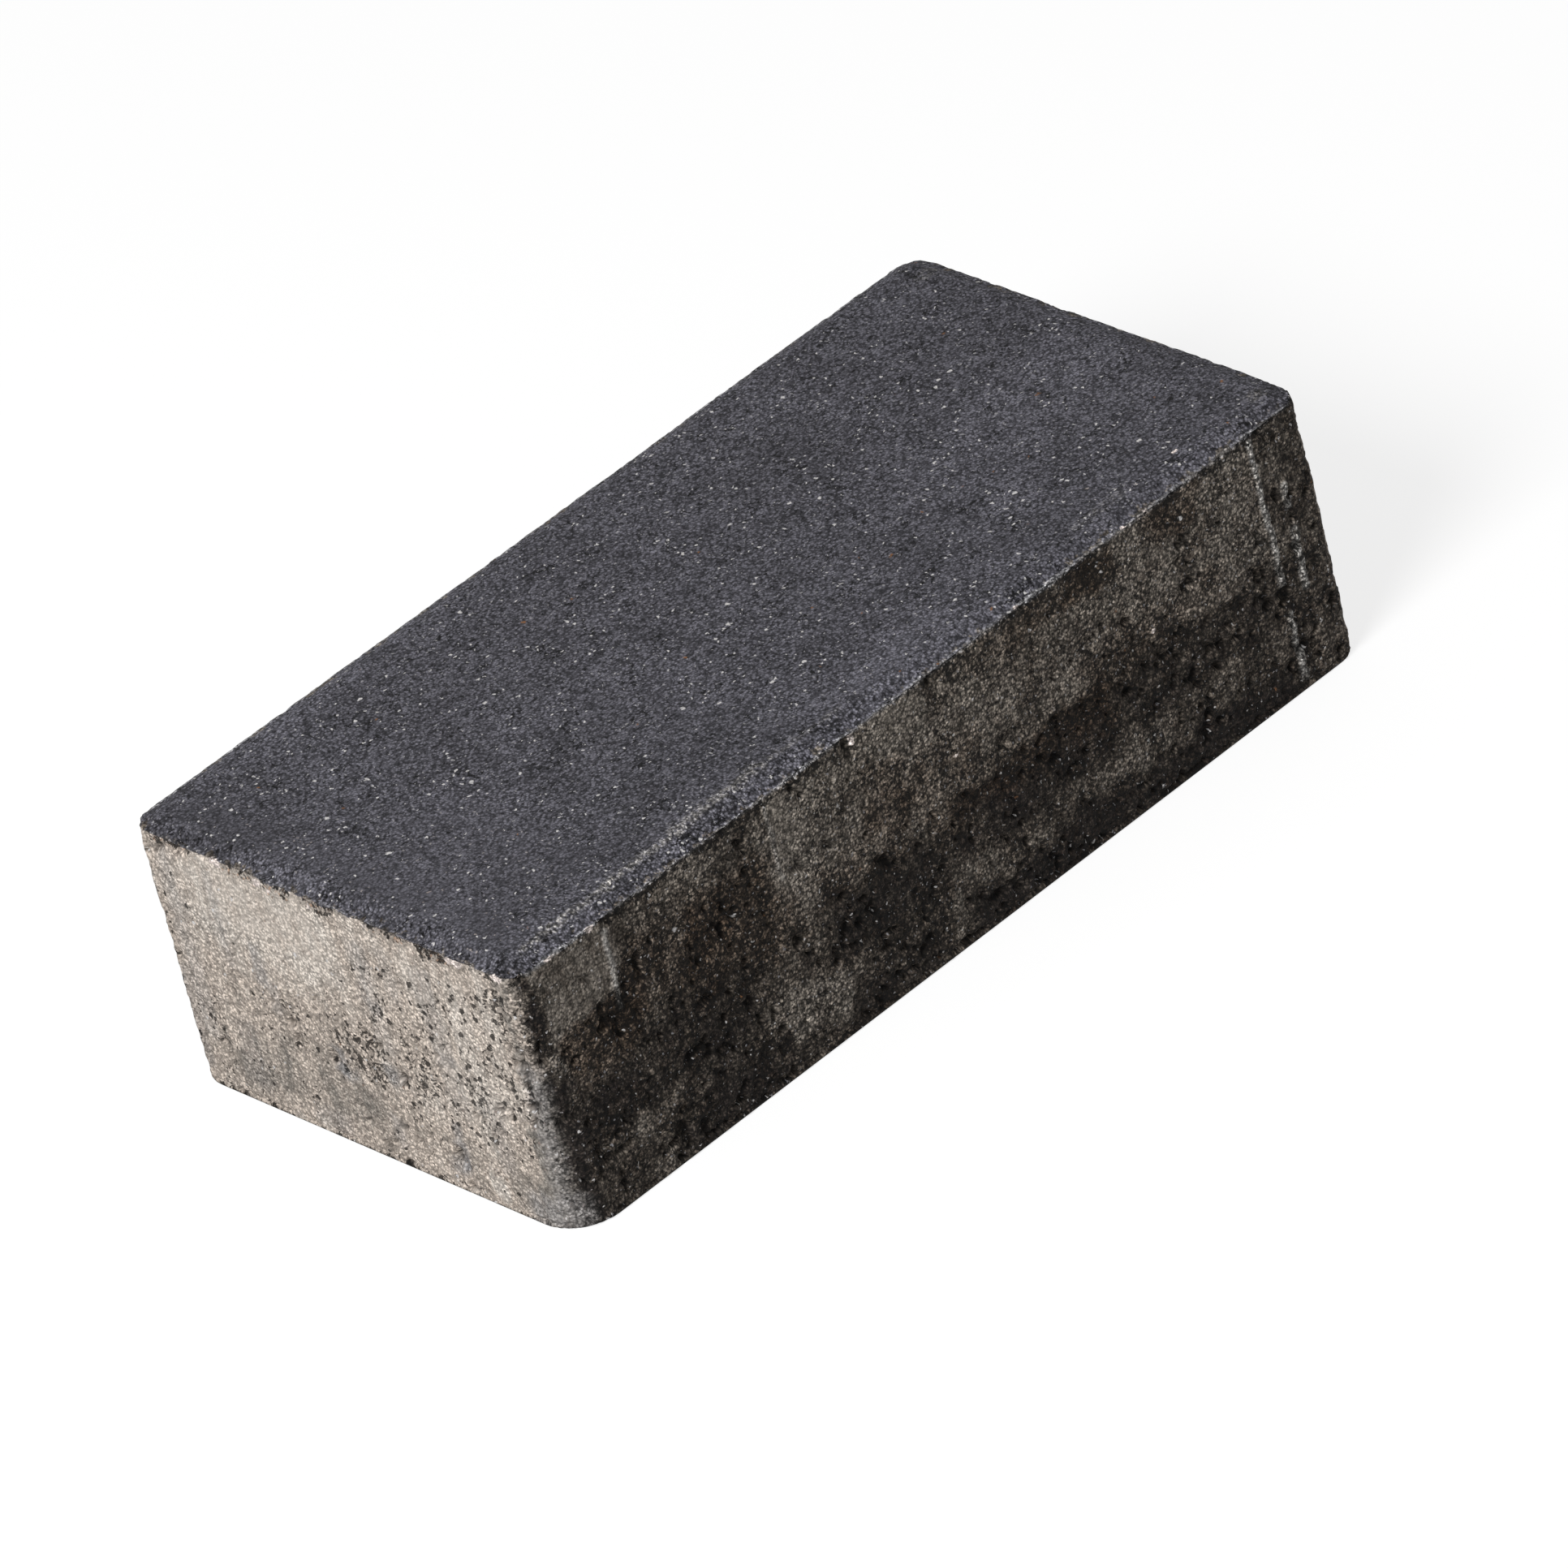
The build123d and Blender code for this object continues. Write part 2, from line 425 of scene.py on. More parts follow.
        # Open texture: where the paste is missing on the sides, and on the bevel round the top
        bare = add(RANGE, SMOOTH, {"Value": tone, "From Min": 0.7, "From Max": -0.3, "To Min": 0.16,
                                   "To Max": 1.0})
        calm = add(RANGE, {}, {"Value": skin, "To Min": 1.0, "To Max": 0.42})
        bare = add(MATH, MULTIPLY, {0: bare, 1: calm})
        inset_x = add(MATH, ABSOLUTE, {0: axes.outputs["X"]})
        inset_x = add(MATH, SUBTRACT, {0: self.half_length, 1: inset_x})
        inset_y = add(MATH, ABSOLUTE, {0: axes.outputs["Y"]})
        inset_y = add(MATH, SUBTRACT, {0: self.half_width, 1: inset_y})
        inset = add(MATH, {"operation": "SMOOTH_MIN"}, {0: inset_x, 1: inset_y, 2: 3.0})
        bevel = add(RANGE, SMOOTH, {"Value": inset, "From Min": self.crest_inset + 1.4,
                                    "From Max": self.crest_inset - 1.6})
        lower = add(RANGE, SMOOTH, {"Value": axes.outputs["X"], "From Min": 25.0, "From Max": -50.0})
        nearby = add(RANGE, SMOOTH, {"Value": axes.outputs["Y"], "From Min": -self.half_width + 9.0,
                                     "From Max": -self.half_width + 6.0})
        lower = add(MATH, MULTIPLY, {0: lower, 1: nearby})
        worn = add(RANGE, {}, {"Value": lower, "To Min": 0.25, "To Max": 1.0})
        bevel = add(MATH, MULTIPLY, {0: bevel, 1: worn})
        above = add(RANGE, {}, {"Value": bevel, "To Min": self.top_grit_depth,
                                "To Max": self.top_grit_depth * 3.0})
        bared = add(MATH, MULTIPLY, {0: bare, 1: self.grit_depth})
        share = add(MIX, FLOAT, {0: side, 2: above, 3: bared})

        # Relief: slow waves, lumps and grit
        wave = add(NOISE, {}, {"Vector": place, "Scale": 1 / self.wave_size, "Detail": 1.0})
        wave = add(RANGE, {}, {"Value": wave, "From Min": 0.3, "From Max": 0.7,
                               "To Max": self.wave_depth})
        lump = add(NOISE, {}, {"Vector": place, "Scale": 1 / self.lump_size, "Detail": 1.0})
        lump = add(RANGE, {}, {"Value": lump, "From Min": 0.68, "From Max": 0.35,
                               "To Max": self.lump_depth / self.grit_depth})
        grit = add(NOISE, {}, {"Vector": place, "Scale": 1 / self.grit_size, "Detail": 2.0,
                               "Roughness": 0.55})
        grit = add(RANGE, {}, {"Value": grit, "From Min": 0.62, "From Max": 0.32})
        rough = add(MATH, ADD, {0: lump, 1: grit})
        depth = add(MATH, MULTIPLY_ADD, {0: rough, 1: share, 2: wave})

        # Cavities: torn holes that gather in groups, hardly any where the paste is smooth
        torn = add(NOISE, {}, {"Vector": near, "Scale": 1 / self.cavity_size, "Detail": 1.5,
                               "Roughness": 0.5})
        group = add(NOISE, {}, {"Vector": place, "Scale": 1 / 9.0, "Detail": 1.0})
        torn = add(MATH, MULTIPLY_ADD, {0: group, 1: 0.5, 2: torn})
        torn = add(MATH, MULTIPLY_ADD, {0: bare, 1: 0.1, 2: torn})
        torn = add(RANGE, SMOOTH, {"Value": torn, "From Min": 0.93, "From Max": 1.04})
        torn = add(MATH, MULTIPLY, {0: torn, 1: side})
        depth = add(MATH, MULTIPLY_ADD, {0: torn, 1: self.cavity_depth, 2: depth})
        depth = add(MATH, ADD, {0: depth, 1: hollow})

        # Rim and foot: edges that crumbled when the mould was lifted off
        away = add(MATH, SUBTRACT, {0: height, 1: self.shoulder})
        away = add(MATH, ABSOLUTE, {0: away})
        rim = add(RANGE, SMOOTH, {"Value": away, "From Min": 1.5, "From Max": 0.1,
                                  "To Max": self.rim_depth})
        foot = add(RANGE, SMOOTH, {"Value": height, "From Min": 2.0, "From Max": 0.4,
                                   "To Max": self.foot_depth})
        edge = add(MATH, MAXIMUM, {0: rim, 1: foot})
        crumb = add(NOISE, {}, {"Vector": place, "Scale": 1 / 2.6, "Detail": 3.0, "Roughness": 0.65})
        nearer = add(MATH, MINIMUM, {0: facing.outputs["X"], 1: facing.outputs["Y"]})
        nearer = add(RANGE, {}, {"Value": nearer, "From Min": 0.0, "From Max": -0.5, "To Min": 0.4,
                                 "To Max": 2.5})
        crumb = add(RANGE, {}, {"Value": crumb, "From Min": 0.42, "From Max": 0.7, "To Max": nearer})
        depth = add(MATH, MULTIPLY_ADD, {0: edge, 1: crumb, 2: depth})

        # The near bevel was pressed deeper towards the left
        pressed = add(RANGE, SMOOTH, {"Value": axes.outputs["Y"], "From Min": -self.half_width + 6.2,
                                      "From Max": -self.half_width + 3.6, "To Max": self.pressed_depth})
        pressed = add(MATH, MULTIPLY, {0: pressed, 1: lower})
        upper = add(RANGE, {}, {"Value": side, "To Min": 1.0, "To Max": 0.0})
        depth = add(MATH, MULTIPLY_ADD, {0: pressed, 1: upper, 2: depth})

        # The upright corners are fuller than the flat sides, which the mould dragged at
        turning = add(VECTOR_MATH, ABSOLUTE, {0: normal})
        turning = add("ShaderNodeSeparateXYZ", {}, {0: turning})
        turning = add(MATH, MINIMUM, {0: turning.outputs["X"], 1: turning.outputs["Y"]})
        turning = add(RANGE, SMOOTH, {"Value": turning, "From Min": 0.03, "From Max": 0.4,
                                      "To Max": -self.corner_fullness})
        depth = add(MATH, MULTIPLY_ADD, {0: turning, 1: side, 2: depth})

        # Lime bloom stands proud, so the sides are drawn in to leave room for it
        recess = add(MATH, MULTIPLY_ADD, {0: side, 1: self.side_recess, 2: depth})
        depth = add(MATH, MULTIPLY_ADD, {0: bloom, 1: -self.bloom_height, 2: recess})

        # The bed stays flat, so that the stone lies level, and nothing leaves the moulded box
        bed = add(RANGE, SMOOTH, {"Value": facing.outputs["Z"], "From Min": -0.8, "From Max": -0.3,
                                  "To Max": -MM})
        inward = add(MATH, MULTIPLY, {0: depth, 1: bed})
        moved = add(VECTOR_MATH, {"operation": "SCALE"}, {0: normal, "Scale": inward})
        moved = add(VECTOR_MATH, ADD, {0: position, 1: moved})
        reach = ((self.half_length - 0.05) * MM, (self.half_width - 0.05) * MM)
        moved = add(VECTOR_MATH, MAXIMUM, {0: moved, 1: (-reach[0], -reach[1], 0.0)})
        moved = add(VECTOR_MATH, MINIMUM, {0: moved, 1: (*reach, (self.thickness - 0.02) * MM)})

        # Painted cavity shade: how much the material darkens the colour where the relief, torn holes and
        # hollows lie deep
        cavity_shade = add(MATH, MULTIPLY, {0: rough, 1: share})
        for cause, part in ((torn, 0.9), (hollow, 0.5)):
            cavity_shade = add(MATH, MULTIPLY_ADD, {0: cause, 1: part, 2: cavity_shade})
        opened = add(MIX, FLOAT, {0: side, 2: bevel, 3: bare})

        # Crevices between crumbs: where it is open or pitted, and in the burrs and painted shadow just
        # under the rim
        creviced = add(RANGE, SMOOTH, {"Value": height, "From Min": 55.0, "From Max": 58.0,
                                       "To Max": 0.6})
        for cause, share in ((pitted, 1.2), (opened, 0.6)):
            creviced = add(MATH, MULTIPLY_ADD, {0: cause, 1: share, 2: creviced})
        creviced = add(MATH, MULTIPLY, {0: creviced, 1: side})
        whole = add(RANGE, {}, {"Value": skin, "To Min": 1.0, "To Max": 0.55})
        creviced = add(MATH, MULTIPLY, {0: creviced, 1: whole})
        hung_burr_and_rim_shadow = add(MATH, MULTIPLY, {0: burr_and_rim_shadow, 1: side})
        for cause, share in ((hung_burr_and_rim_shadow, 1.7), (crowd, 1.15), (skin, -0.6), (smooth, -0.9)):
            creviced = add(MATH, MULTIPLY_ADD, {0: cause, 1: share, 2: creviced})
        creviced = add(MATH, MINIMUM, {0: creviced, 1: self.crevice_ceiling})
        creviced = add(MATH, MULTIPLY_ADD, {0: chip, 1: -2.0, 2: creviced})
        pocked = add(MATH, MULTIPLY_ADD, {0: crowd, 1: 0.2, 2: pitted})
        pocked = add(MATH, SUBTRACT, {0: pocked, 1: smooth})
        pocked = add(MATH, MULTIPLY, {0: pocked, 1: side})
        stream = source.outputs[0]
        masks = {Mask.REST: place, Mask.TONE: tone, Mask.OPEN: opened, Mask.SKIN: skin,
                 Mask.BURR: burr_and_rim_shadow, Mask.CHIP: chip, Mask.BLOOM: bloom, Mask.HOLLOW: cavity_shade,
                 Mask.SIDE: side, Mask.PITTED: pocked, Mask.RESIDUE: residue, Mask.SMOOTH: smooth,
                 Mask.CROWD: crowd, Mask.CREVICED: creviced, Mask.STAIN: stain}
        for mask, value in masks.items():
            kept_as = {"data_type": "FLOAT_VECTOR" if mask is Mask.REST else "FLOAT", "domain": "POINT"}
            stream = add("GeometryNodeStoreNamedAttribute", kept_as,
                         {"Geometry": stream, "Name": mask.value, "Value": value}).outputs[0]
        placed = add("GeometryNodeSetPosition", {}, {"Geometry": stream, "Position": moved})
        add("NodeGroupOutput", {}, {0: placed})
        return tree


@dataclass(frozen=True)
class PressedConcrete:
    """Vibrated, pressed concrete: dark sandy mix on top, cement paste smeared over the sides.

    The eye gets a dry, matt, sandy surface with grains of half a millimetre, whitish and brown
    specks of sand, crevices and pits darkened by painted shade, and sides that change between
    dark open mix and paler paste.
    """

    coat: str = "#424146"
    coat_light: str = "#5a5960"
    dark_mix: str = "#2c2724"
    brown_mix: str = "#544d46"
    paste: str = "#7c756d"
    skin_stain: str = "#88827b"
    skin_sand: str = "#baaea3"
    skin_smooth: str = "#c9c1b8"
    grey_sand: str = "#9b999c"
    white_sand: str = "#dad7d6"
    pale_stone: str = "#d6cac4"
    rusty_sand: str = "#8a6243"
    brown_sand: str = "#8f7664"
    grey_film: str = "#93908f"
    lime: str = "#a6a29e"
    worn_edge: str = "#a09fa1"
    bloom: str = "#aeaba7"
    browned: str = "#5c4a3b"
    grain_size: float = 0.5
    crumb_size: float = 2.1
    grit_size: float = 1.25
    pit_spacing: float = 1.9
    pit_radius: float = 0.42
    hole_depth: float = 0.45
    roughness: float = 0.88
    specular: float = 0.2
    half_sizes: tuple[float, float, float] = (HALF_LENGTH, HALF_WIDTH, THICKNESS)
    shoulder: float = SHOULDER

    def scatter(self, tree: bpy.types.NodeTree, place: bpy.types.NodeSocket, spacing: float,
                share: float | bpy.types.Node, radius: float) -> bpy.types.Node:
        """Scatters single grains or pits.

        Args:
            tree: The material's node tree.
            place: The point in mm.
            spacing: Distance between possible grains in mm.
            share: Share of the places that have one, the same all over or from a node.
            radius: Radius of a grain, as a share of the spacing.

        Returns:
            A node whose first output is the mask of the grains.
        """
        add = partial(add_node, tree)
        cell = add(VORONOI, {}, {"Vector": place, "Scale": 1 / spacing})
        lots = add("ShaderNodeSeparateXYZ", {}, {0: cell.outputs["Color"]})
        drawn = add(MATH, {"operation": "LESS_THAN"}, {0: lots, 1: share})
        size = add(RANGE, {}, {"Value": lots.outputs["Y"], "To Min": radius * 0.45, "To Max": radius})
        size = add(MATH, MULTIPLY, {0: size, 1: drawn})
        ratio = add(MATH, SUBTRACT, {0: size, 1: cell.outputs["Distance"]})
        return add(RANGE, {}, {"Value": ratio, "From Min": 0.0, "From Max": 0.08})

    def build(self) -> bpy.types.Material:
        """Builds the material.

        Returns:
            The concrete, reading the masks that the relief left on the mesh.
        """
        material = bpy.data.materials.new("pressed_concrete")
        material.use_nodes = True
        tree = material.node_tree
        tree.nodes.clear()
        add = partial(add_node, tree)
        read = {mask: add("ShaderNodeAttribute", {"attribute_name": mask.value}) for mask in Mask}
        place = read[Mask.REST].outputs["Vector"]
        level = {mask: node.outputs["Fac"] for mask, node in read.items()}
        tone, opened, skin, side = (level[mask] for mask in (Mask.TONE, Mask.OPEN, Mask.SKIN, Mask.SIDE))
        pitted, smooth, crowd = (level[mask] for mask in (Mask.PITTED, Mask.SMOOTH, Mask.CROWD))
        height = add("ShaderNodeSeparateXYZ", {}, {0: place}).outputs["Z"]

        # Sand: rounded grains, each with its own brightness, and coarser grit
        cell = add(VORONOI, {}, {"Vector": place, "Scale": 1 / self.grain_size})
        lots = add("ShaderNodeSeparateXYZ", {}, {0: cell.outputs["Color"]})
        grit = add(NOISE, {}, {"Vector": place, "Scale": 1 / self.grit_size, "Detail": 3.0,
                               "Roughness": 0.75})

        # Crumbs with torn outlines, and crevices where the gaps between them stand open
        torn = add(NOISE, {}, {"Vector": place, "Scale": 1 / 0.9, "Detail": 1.0, "Roughness": 0.6})
        torn = add(VECTOR_MATH, MULTIPLY_ADD, {0: torn.outputs["Color"], 1: (1.2,) * 3, 2: (-0.6,) * 3})
        torn = add(VECTOR_MATH, ADD, {0: place, 1: torn})
        crumb = add(VORONOI, {}, {"Vector": torn, "Scale": 1 / self.crumb_size})
        stuck = add("ShaderNodeSeparateXYZ", {}, {0: crumb.outputs["Color"]})
        beside = add(VORONOI, {"feature": "F2"}, {"Vector": torn, "Scale": 1 / self.crumb_size})
        apart = add(MATH, SUBTRACT, {0: beside.outputs["Distance"], 1: crumb.outputs["Distance"]})
        gaping = add(MATH, MULTIPLY_ADD, {0: level[Mask.CREVICED], 1: 0.3, 2: -1.27})
        gaping = add(MATH, MULTIPLY_ADD, {0: grit, 1: 2.0, 2: gaping})
        crevice = add(MATH, SUBTRACT, {0: gaping, 1: apart})
        crevice = add(RANGE, {}, {"Value": crevice, "From Min": 0.0, "From Max": 0.08})

        # Pits, where air was caught against the mould
        pits = self.scatter(tree, torn, self.pit_spacing, pitted, self.pit_radius)
        ajar = add(RANGE, {}, {"Value": grit, "From Min": 0.35, "From Max": 0.42})
        pits = add(MATH, MULTIPLY, {0: pits, 1: ajar})
        holes = add(MATH, MAXIMUM, {0: crevice, 1: pits})

        # The tone is broken up by fine drag marks and by the sand itself
        streak = add(VECTOR_MATH, MULTIPLY, {0: place, 1: (1 / 1.1, 1 / 1.1, 1 / 13.0)})
        streak = add(NOISE, {}, {"Vector": streak, "Scale": 1.0, "Detail": 3.0, "Roughness": 0.6})
        broken = add(NOISE, {}, {"Vector": place, "Scale": 1 / 3.6, "Detail": 4.0, "Roughness": 0.7})
        broken = add(MATH, SUBTRACT, {0: broken, 1: 0.5})
        sway = add(RANGE, {}, {"Value": skin, "To Min": 2.5, "To Max": 1.3})
        broken = add(MATH, MULTIPLY_ADD, {0: broken, 1: sway, 2: tone})
        streak = add(MATH, MULTIPLY_ADD, {0: streak, 1: 1.3, 2: -0.65})
        tone = add(MATH, ADD, {0: broken, 1: streak})
        scaled = add(RANGE, {}, {"Value": tone, "From Min": -1.4, "From Max": 1.4})

        # By the tone mask: dark open mix, browner mix and paste on the sides, pale skin on the ends
        ramps = []
        for stops in (((0.15, self.dark_mix), (0.52, self.brown_mix), (0.85, self.paste)),
                      ((0.08, self.skin_stain), (0.42, self.skin_sand), (0.85, self.skin_smooth))):
            ramps.append(add("ShaderNodeValToRGB", {}, {0: scaled}))
            elements = ramps[-1].color_ramp.elements
            elements.new(stops[1][0])
            for element, (position, code) in zip(elements, stops):
                element.position = position
                element.color = linear(code)
        body, pale = ramps
        stained = add(RANGE, {}, {"Value": pitted, "To Max": 0.55})
        body = add(MIX, RGBA, {0: stained, MIX_A: body, MIX_B: linear(self.browned)}).outputs[MIX_OUT]
        edged = add(MATH, MULTIPLY_ADD, {0: grit, 1: 1.2, 2: skin})
        edged = add(RANGE, {}, {"Value": edged, "From Min": 0.75, "From Max": 1.4})
        colour = add(MIX, RGBA, {0: edged, MIX_A: body, MIX_B: pale}).outputs[MIX_OUT]

        film = add(MATH, ADD, {0: streak, 1: 0.8})
        clamped = {"operation": "MULTIPLY", "use_clamp": True}
        film = add(MATH, clamped, {0: film, 1: level[Mask.STAIN]})
        colour = add(MIX, RGBA, {0: film, MIX_A: colour, MIX_B: linear(self.grey_film)}).outputs[MIX_OUT]

        # Crumbs of the top mix hang over the sides, darkened as painted shadow under the rim, and the coat
        # itself ends at the rim
        crumbs_and_rim_shadow = add(MATH, MULTIPLY_ADD, {0: grit, 1: 1.4, 2: level[Mask.BURR]})
        crumbs_and_rim_shadow = add(MATH, MULTIPLY_ADD, {0: lots, 1: 0.8, 2: crumbs_and_rim_shadow})
        crumbs_and_rim_shadow = add(RANGE, {}, {"Value": crumbs_and_rim_shadow, "From Min": 1.95, "From Max": 2.2, "To Max": 0.9})
        brown = add(RANGE, {}, {"Value": lots.outputs["Y"], "From Min": 0.45, "From Max": 0.8,
                                "To Max": edged})
        brown = add(MIX, RGBA, {0: brown, MIX_A: linear(self.dark_mix),
                                MIX_B: linear(self.brown_sand)}).outputs[MIX_OUT]
        colour = add(MIX, RGBA, {0: crumbs_and_rim_shadow, MIX_A: colour, MIX_B: brown}).outputs[MIX_OUT]
        ragged = height
        for cause, share in ((grit, 2.2), (crowd, 0.5), (stuck, 1.1)):
            ragged = add(MATH, MULTIPLY_ADD, {0: cause, 1: share, 2: ragged})
        coated = add(RANGE, SMOOTH, {"Value": ragged, "From Min": 59.95, "From Max": 60.3})
        cloud = add(RANGE, {}, {"Value": level[Mask.TONE], "From Min": -0.75, "From Max": 0.8})
        coat = add(MIX, RGBA, {0: cloud, MIX_A: linear(self.coat), MIX_B: linear(self.coat_light)})
        colour = add(MIX, RGBA, {0: coated, MIX_A: colour, MIX_B: coat.outputs[MIX_OUT]}).outputs[MIX_OUT]

        # The arris of the land is worn to a paler line with gaps, hardly any on the ends; the
        # crest keeps some residue
        inset = add(VECTOR_MATH, ABSOLUTE, {0: place})
        inset = add(VECTOR_MATH, SUBTRACT, {0: self.half_sizes, 1: inset})
        inset = add("ShaderNodeSeparateXYZ", {}, {0: inset})
        drop = add(MATH, SUBTRACT, {0: height, 1: self.shoulder})
        drop = add(MATH, ABSOLUTE, {0: drop})
        away = add(MATH, MINIMUM, {0: inset.outputs["X"], 1: inset.outputs["Y"]})
        away = add(MATH, MAXIMUM, {0: away, 1: drop})
        away = add(MATH, MULTIPLY_ADD, {0: grit, 1: 1.2, 2: away})
        line = add(RANGE, SMOOTH, {"Value": away, "From Min": 1.8, "From Max": 1.3})
        gaps = add(RANGE, {}, {"Value": crowd, "To Min": 0.3})
        line = add(MATH, MULTIPLY, {0: line, 1: gaps})
        along = add(RANGE, {}, {"Value": inset.outputs["X"], "From Min": 2.0, "From Max": 6.0,
                                "To Min": 0.15, "To Max": 1.0})
        line = add(MATH, MULTIPLY, {0: line, 1: along})
        crumbs = add(RANGE, {}, {"Value": grit, "From Min": 0.42, "From Max": 0.6, "To Max": 0.95})
        crumbs = add(MATH, MULTIPLY, {0: crumbs, 1: level[Mask.RESIDUE]})
        clamped = {"data_type": "RGBA", "clamp_factor": True}
        for share, tint in ((line, self.worn_edge), (crumbs, self.lime), (level[Mask.BLOOM], self.bloom)):
            colour = add(MIX, clamped, {0: share, MIX_A: colour, MIX_B: linear(tint)}).outputs[MIX_OUT]

        # Pale stones that show where the rim broke
        stone = add(MATH, MULTIPLY_ADD, {0: grit, 1: 1.0, 2: level[Mask.CHIP]})
        stone = add(RANGE, {}, {"Value": stone, "From Min": 0.95, "From Max": 1.15})
        colour = add(MIX, RGBA, {0: stone, MIX_A: colour,
                                 MIX_B: linear(self.pale_stone)}).outputs[MIX_OUT]

        # Brightness of the grains, dark joints between them, painted shade in cavities, crevices and pits;
        # calmer on skin and paste
        grain = add(RANGE, {}, {"Value": lots, "To Min": 0.3, "To Max": 1.7})
        clumps = add(RANGE, {}, {"Value": stuck, "To Min": 0.88, "To Max": 1.14})
        lit = add(RANGE, {}, {"Value": grit, "From Min": 0.3, "From Max": 0.7, "To Min": 0.72,
                              "To Max": 1.28})
        lit = add(MATH, MULTIPLY, {0: lit, 1: clumps})
        keen = add(RANGE, {}, {"Value": side, "To Min": 0.12, "To Max": 0.8})
        lit = add(MATH, POWER, {0: lit, 1: keen})
        shade = add(MATH, MULTIPLY, {0: grain, 1: lit})
        joint = add(RANGE, {}, {"Value": cell.outputs["Distance"], "From Min": 0.25, "From Max": 0.75,
                                "To Min": 1.4, "To Max": 0.5})
        shade = add(MATH, MULTIPLY, {0: shade, 1: joint})
        calm = add(MATH, MULTIPLY, {0: edged, 1: side})
        calm = add(RANGE, {}, {"Value": calm, "To Min": 1.0, "To Max": 0.44})
        paste = add(RANGE, {}, {"Value": smooth, "To Min": 1.0, "To Max": 0.6})
        calm = add(MATH, MULTIPLY, {0: calm, 1: paste})
        least = add(RANGE, {}, {"Value": side, "To Min": 1.1, "To Max": 1.5})
        force = add(RANGE, {}, {"Value": opened, "To Min": least, "To Max": 1.55})
        force = add(MATH, MULTIPLY, {0: force, 1: calm})
        shade = add(MATH, POWER, {0: shade, 1: force})
        # Painted shade in cavities: darker where the relief lies deep, a little lighter where it lies flat
        deep = add(RANGE, {}, {"Value": level[Mask.HOLLOW], "From Min": 0.25, "From Max": 1.2,
                               "To Min": 1.2, "To Max": 0.35})
        shade = add(MATH, MULTIPLY, {0: shade, 1: deep})
        # Painted shade in the crevices and pits
        crevice_and_pit_shade = add(RANGE, {}, {"Value": holes, "To Min": 1.0, "To Max": 0.14})
        shade = add(MATH, MULTIPLY, {0: shade, 1: crevice_and_pit_shade})
        colour = add(VECTOR_MATH, {"operation": "SCALE"}, {0: colour, "Scale": shade}).outputs[0]

        # Single sand grains: small brown or greyish ones, white ones in groups, a rare rusty one
        small = add(MIX, RGBA, {0: calm, MIX_A: linear(self.brown_sand),
                                MIX_B: linear(self.grey_sand)}).outputs[MIX_OUT]
        fewer = add(RANGE, {}, {"Value": smooth, "To Min": 0.25, "To Max": 0.1})
        bright = add(RANGE, {}, {"Value": crowd, "To Min": 0.08, "To Max": 0.32})
        large = add(RANGE, {}, {"Value": crowd, "To Min": 0.08, "To Max": 0.26})
        for spacing, share, radius, tint in ((0.85, fewer, 0.34, small),
                                             (1.1, bright, 0.34, linear(self.white_sand)),
                                             (2.4, large, 0.24, linear(self.white_sand)),
                                             (3.3, 0.08, 0.17, linear(self.rusty_sand))):
            grains = self.scatter(tree, torn, spacing, share, radius)
            colour = add(MIX, RGBA, {0: grains, MIX_A: colour, MIX_B: tint}).outputs[MIX_OUT]

        # Fine relief in mm: crumbs, grit and holes, stronger where it lies open
        strength = add(RANGE, {}, {"Value": side, "To Min": 0.27, "To Max": 1.0})
        eased = add(RANGE, {}, {"Value": opened, "To Min": 0.8, "To Max": 1.25})
        strength = add(MATH, MULTIPLY, {0: strength, 1: eased})
        strength = add(MATH, MULTIPLY, {0: strength, 1: calm})
        rise = add(RANGE, SMOOTH, {"Value": apart, "From Max": 0.5, "To Max": 0.3})
        rise = add(MATH, MULTIPLY_ADD, {0: stuck, 1: 0.2, 2: rise})
        rise = add(MATH, MULTIPLY_ADD, {0: grit, 1: 1.0, 2: rise})
        rise = add(MATH, MULTIPLY, {0: rise, 1: strength})
        rise = add(MATH, MULTIPLY_ADD, {0: holes, 1: -self.hole_depth, 2: rise})
        bump = add("ShaderNodeBump", {}, {"Height": rise, "Distance": MM})
        shader = add("ShaderNodeBsdfPrincipled", {}, {"Base Color": colour, "Roughness": self.roughness,
                                                      "IOR": 1.5, "Specular IOR Level": self.specular,
                                                      "Normal": bump})
        add("ShaderNodeOutputMaterial", {}, {0: shader})
        return material


